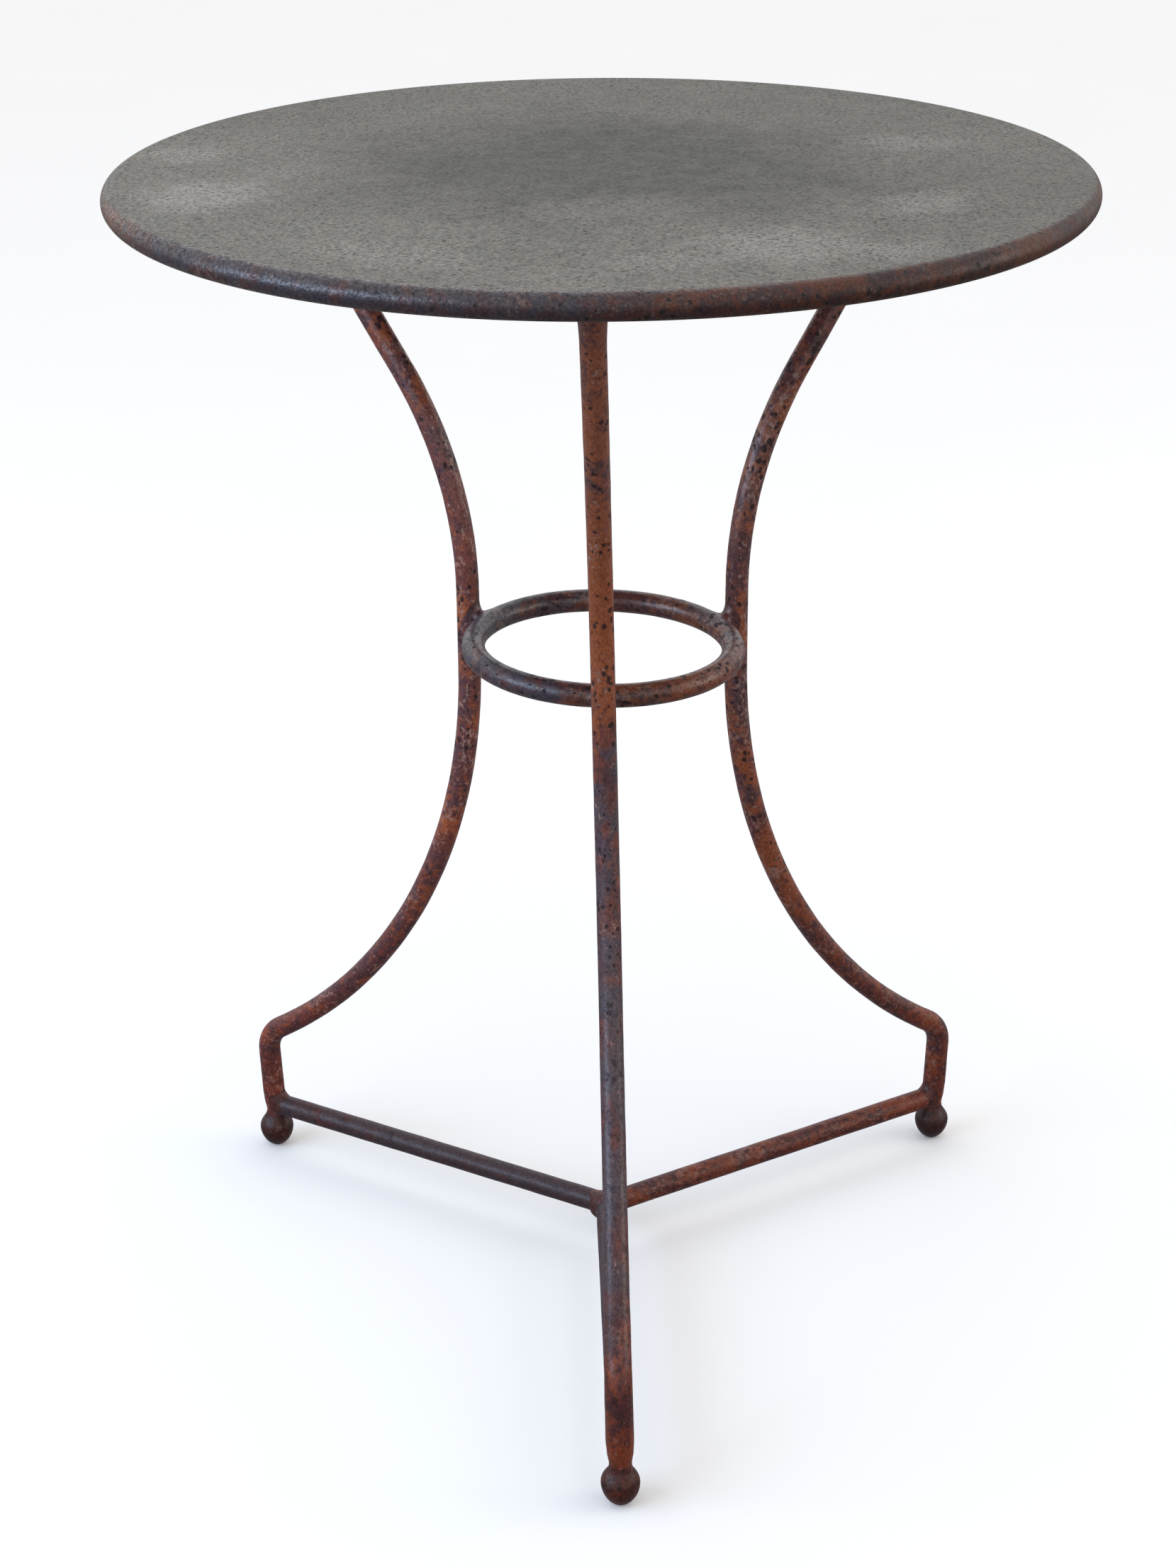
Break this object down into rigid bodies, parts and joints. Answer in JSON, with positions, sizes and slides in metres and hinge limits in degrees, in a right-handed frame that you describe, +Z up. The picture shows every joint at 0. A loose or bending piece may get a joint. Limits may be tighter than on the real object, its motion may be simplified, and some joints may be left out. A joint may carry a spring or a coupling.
{
  "type": "bistro table",
  "caption": "Round cafe table in old rusted steel: a sheet top with a wired, rolled edge on bent bar legs with ball feet, tied by a ring at the waist and a Y stretcher near the floor.",
  "frame": {"origin": "on the floor, under the centre of the round top", "axes": "+Z up; the front leg stands towards -Y and the other two at about 30 and 150 degrees from +X"},
  "size_m": [0.5856, 0.5856, 0.75],
  "materials": {
    "worn_sheet": "bare steel sheet worn to a dull grey-taupe, waxed, with fine dark pits and paler wiped patches",
    "rusted_bar": "old round bar, red-brown rust under wax, with dark pits, orange patches and a blue-grey sheen",
    "dark_iron": "the same bar gone dark brown, semi-gloss from handling",
    "weld_metal": "smooth grey-brown weld metal, ground back by hand"
  },
  "bodies": {
    "root": {"top_sheet": "worn_sheet", "rim_wire": "dark_iron", "middle_ring": "rusted_bar", "stretcher_left_to_front": "rusted_bar", "stretcher_right": "rusted_bar", "leg_front": "rusted_bar", "foot_ball_front": "dark_iron", "brace_front": "dark_iron", "weld_top_front": "weld_metal", "weld_brace_front": "weld_metal", "weld_ring_front": "weld_metal", "weld_stretcher_front": "weld_metal", "weld_foot_front": "weld_metal", "leg_left": "rusted_bar", "foot_ball_left": "dark_iron", "brace_left": "dark_iron", "weld_top_left": "weld_metal", "weld_brace_left": "weld_metal", "weld_ring_left": "weld_metal", "weld_stretcher_left": "weld_metal", "weld_foot_left": "weld_metal", "leg_right": "rusted_bar", "foot_ball_right": "dark_iron", "brace_right": "dark_iron", "weld_top_right": "weld_metal", "weld_brace_right": "weld_metal", "weld_ring_right": "weld_metal", "weld_stretcher_right": "weld_metal", "weld_foot_right": "weld_metal", "weld_brace_centre": "weld_metal", "weld_stretcher_hub": "weld_metal"}
  },
  "joints": []
}
